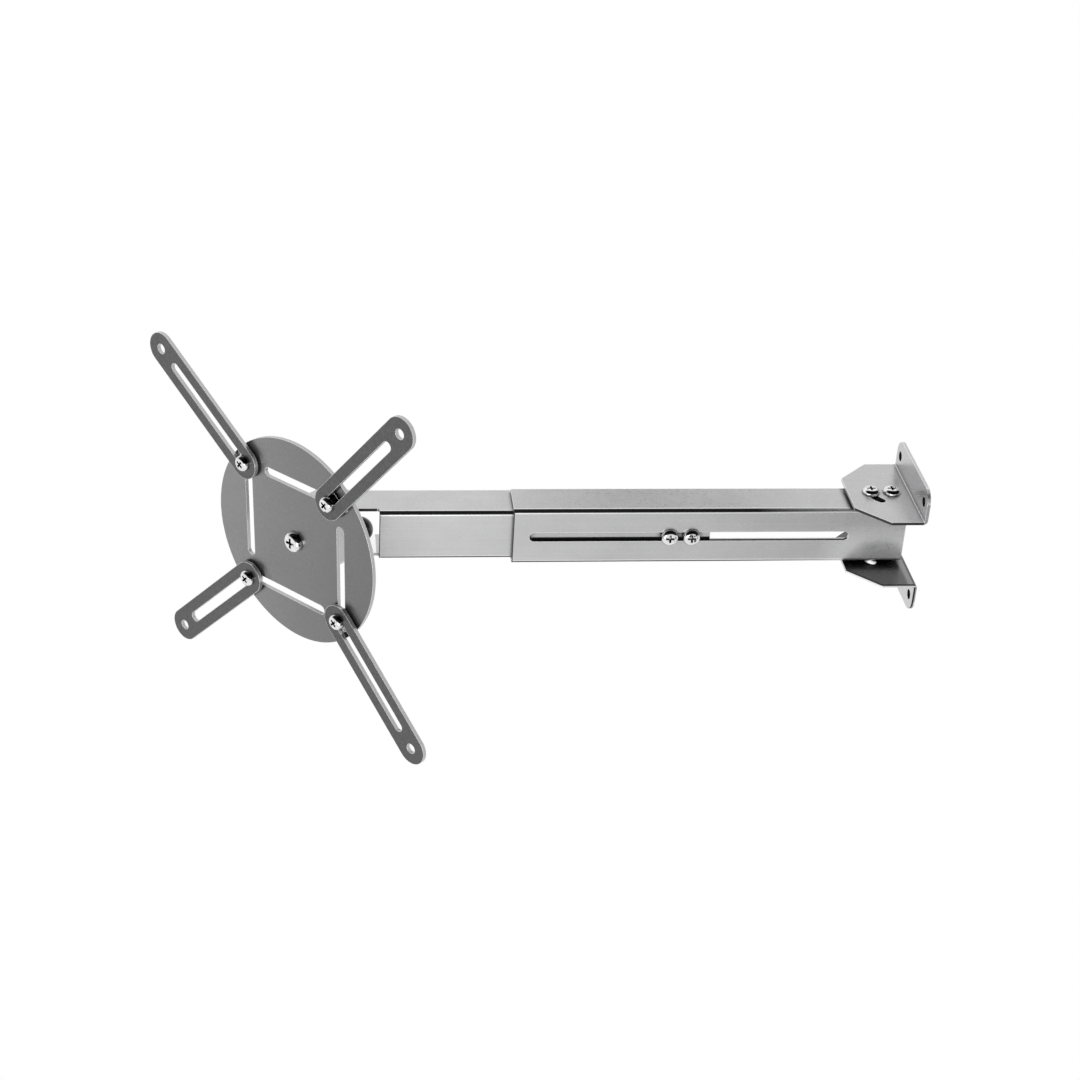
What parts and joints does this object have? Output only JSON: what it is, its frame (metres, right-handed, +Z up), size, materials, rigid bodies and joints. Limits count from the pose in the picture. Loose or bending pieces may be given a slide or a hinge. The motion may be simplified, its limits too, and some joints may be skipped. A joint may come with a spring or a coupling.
{
  "type": "projector wall mount",
  "caption": "Telescoping wall arm with a swivelling round plate and slotted fingers that hold a projector.",
  "frame": {"origin": "centre of the four wall holes, on the wall plane", "axes": "+X points at the wall, +Z up, the arm reaches out along -X"},
  "size_m": [0.5875, 0.217, 0.2894],
  "materials": {
    "arm_silver": "satin silver paint",
    "plate_silver": "satin silver paint",
    "finger_silver": "satin silver paint, slightly grainy",
    "plated_steel": "bright zinc plate",
    "spacer_nylon": "matt nylon",
    "knob_black": "moulded black plastic"
  },
  "bodies": {
    "wall": {"upper_wall_bracket": "arm_silver", "lower_wall_bracket": "arm_silver"},
    "outer_arm": {"outer_channel": "arm_silver", "upper_pivot_screw": "plated_steel", "upper_pivot_spacer": "spacer_nylon", "upper_pivot_nut": "plated_steel", "upper_arc_screw": "plated_steel", "upper_arc_spacer": "spacer_nylon", "upper_arc_nut": "plated_steel", "lower_pivot_screw": "plated_steel", "lower_pivot_spacer": "spacer_nylon", "lower_pivot_nut": "plated_steel", "lower_arc_screw": "plated_steel", "lower_arc_spacer": "spacer_nylon", "lower_arc_nut": "plated_steel"},
    "inner_arm": {"inner_channel": "arm_silver", "clamp_screw_1": "plated_steel", "clamp_screw_2": "plated_steel", "clamp_nut_1": "plated_steel", "clamp_nut_2": "plated_steel"},
    "head": {"head_bracket": "arm_silver", "head_bolt": "plated_steel", "head_nut": "plated_steel", "head_sleeve": "plated_steel"},
    "knob": {"lock_knob": "knob_black"},
    "plate": {"round_plate": "plate_silver", "plate_screw": "plated_steel", "plate_nut": "plated_steel"},
    "finger_1_carriage": {"finger_1_washer": "plated_steel", "finger_1_rear_washer": "plated_steel"},
    "finger_1_bolt": {"finger_1_screw": "plated_steel", "finger_1_nut": "plated_steel"},
    "finger_1_arm": {"finger_1": "finger_silver"},
    "finger_2_carriage": {"finger_2_washer": "plated_steel", "finger_2_rear_washer": "plated_steel"},
    "finger_2_bolt": {"finger_2_screw": "plated_steel", "finger_2_nut": "plated_steel"},
    "finger_2_arm": {"finger_2": "finger_silver"},
    "finger_3_carriage": {"finger_3_washer": "plated_steel", "finger_3_rear_washer": "plated_steel"},
    "finger_3_bolt": {"finger_3_screw": "plated_steel", "finger_3_nut": "plated_steel"},
    "finger_3_arm": {"finger_3": "finger_silver"},
    "finger_4_carriage": {"finger_4_washer": "plated_steel", "finger_4_rear_washer": "plated_steel"},
    "finger_4_bolt": {"finger_4_screw": "plated_steel", "finger_4_nut": "plated_steel"},
    "finger_4_arm": {"finger_4": "finger_silver"}
  },
  "joints": [
    {"name": "arm_swing", "type": "hinge", "parent": "wall", "child": "outer_arm", "pos_m": [-0.017, 0, 0], "axis": [0, 0, 1], "range_deg": [0, 28]},
    {"name": "arm_extend", "type": "slide", "parent": "outer_arm", "child": "inner_arm", "axis": [1, 0, 0], "range_m": [-0.104, 0.119]},
    {"name": "head_pan", "type": "hinge", "parent": "inner_arm", "child": "head", "pos_m": [-0.4498, 0.00615, 0], "axis": [0, 0, 1], "range_deg": [-133, 11]},
    {"name": "knob_turn", "type": "hinge", "parent": "head", "child": "knob", "pos_m": [-0.4498, 0.00615, 0], "axis": [0.9063, -0.4226, 0], "continuous": true},
    {"name": "plate_turn", "type": "hinge", "parent": "head", "child": "plate", "pos_m": [-0.47625, -0.01886, 0], "axis": [-0.7266, -0.6871, 0], "continuous": true},
    {"name": "finger_1_slide", "type": "slide", "parent": "plate", "child": "finger_1_carriage", "axis": [-0.0204, 0.0216, 0.9996], "range_m": [-0.0714, 0.0036]},
    {"name": "finger_1_turn", "type": "hinge", "parent": "finger_1_carriage", "child": "finger_1_bolt", "pos_m": [-0.51311, 0.01575, 0.04892], "axis": [-0.7266, -0.6871, 0], "range_deg": [-40, 40]},
    {"name": "finger_1_reach", "type": "slide", "parent": "finger_1_bolt", "child": "finger_1_arm", "axis": [0.5621, -0.5944, -0.575], "range_m": [0, 0.04]},
    {"name": "finger_2_slide", "type": "slide", "parent": "plate", "child": "finger_2_carriage", "axis": [0.6868, -0.7263, 0.0297], "range_m": [-0.0623, 0.0127]},
    {"name": "finger_2_turn", "type": "hinge", "parent": "finger_2_carriage", "child": "finger_2_bolt", "pos_m": [-0.45106, -0.04986, 0.0502], "axis": [-0.7266, -0.6871, 0], "range_deg": [-40, 40]},
    {"name": "finger_2_reach", "type": "slide", "parent": "finger_2_bolt", "child": "finger_2_arm", "axis": [-0.4417, 0.467, -0.766], "range_m": [0, 0.04]},
    {"name": "finger_3_slide", "type": "slide", "parent": "plate", "child": "finger_3_carriage", "axis": [-0.6868, 0.7263, -0.0297], "range_m": [-0.0695, 0.0055]},
    {"name": "finger_3_turn", "type": "hinge", "parent": "finger_3_carriage", "child": "finger_3_bolt", "pos_m": [-0.51074, 0.01325, -0.05042], "axis": [-0.7266, -0.6871, 0], "range_deg": [-40, 40]},
    {"name": "finger_3_reach", "type": "slide", "parent": "finger_3_bolt", "child": "finger_3_arm", "axis": [0.4816, -0.5093, 0.7133], "range_m": [0, 0.04]},
    {"name": "finger_4_slide", "type": "slide", "parent": "plate", "child": "finger_4_carriage", "axis": [0.0204, -0.0216, -0.9996], "range_m": [-0.0688, 0.0062]},
    {"name": "finger_4_turn", "type": "hinge", "parent": "finger_4_carriage", "child": "finger_4_bolt", "pos_m": [-0.4438, -0.05754, -0.04632], "axis": [-0.7266, -0.6871, 0], "range_deg": [-40, 40]},
    {"name": "finger_4_reach", "type": "slide", "parent": "finger_4_bolt", "child": "finger_4_arm", "axis": [-0.4934, 0.5218, 0.6959], "range_m": [0, 0.04]}
  ]
}
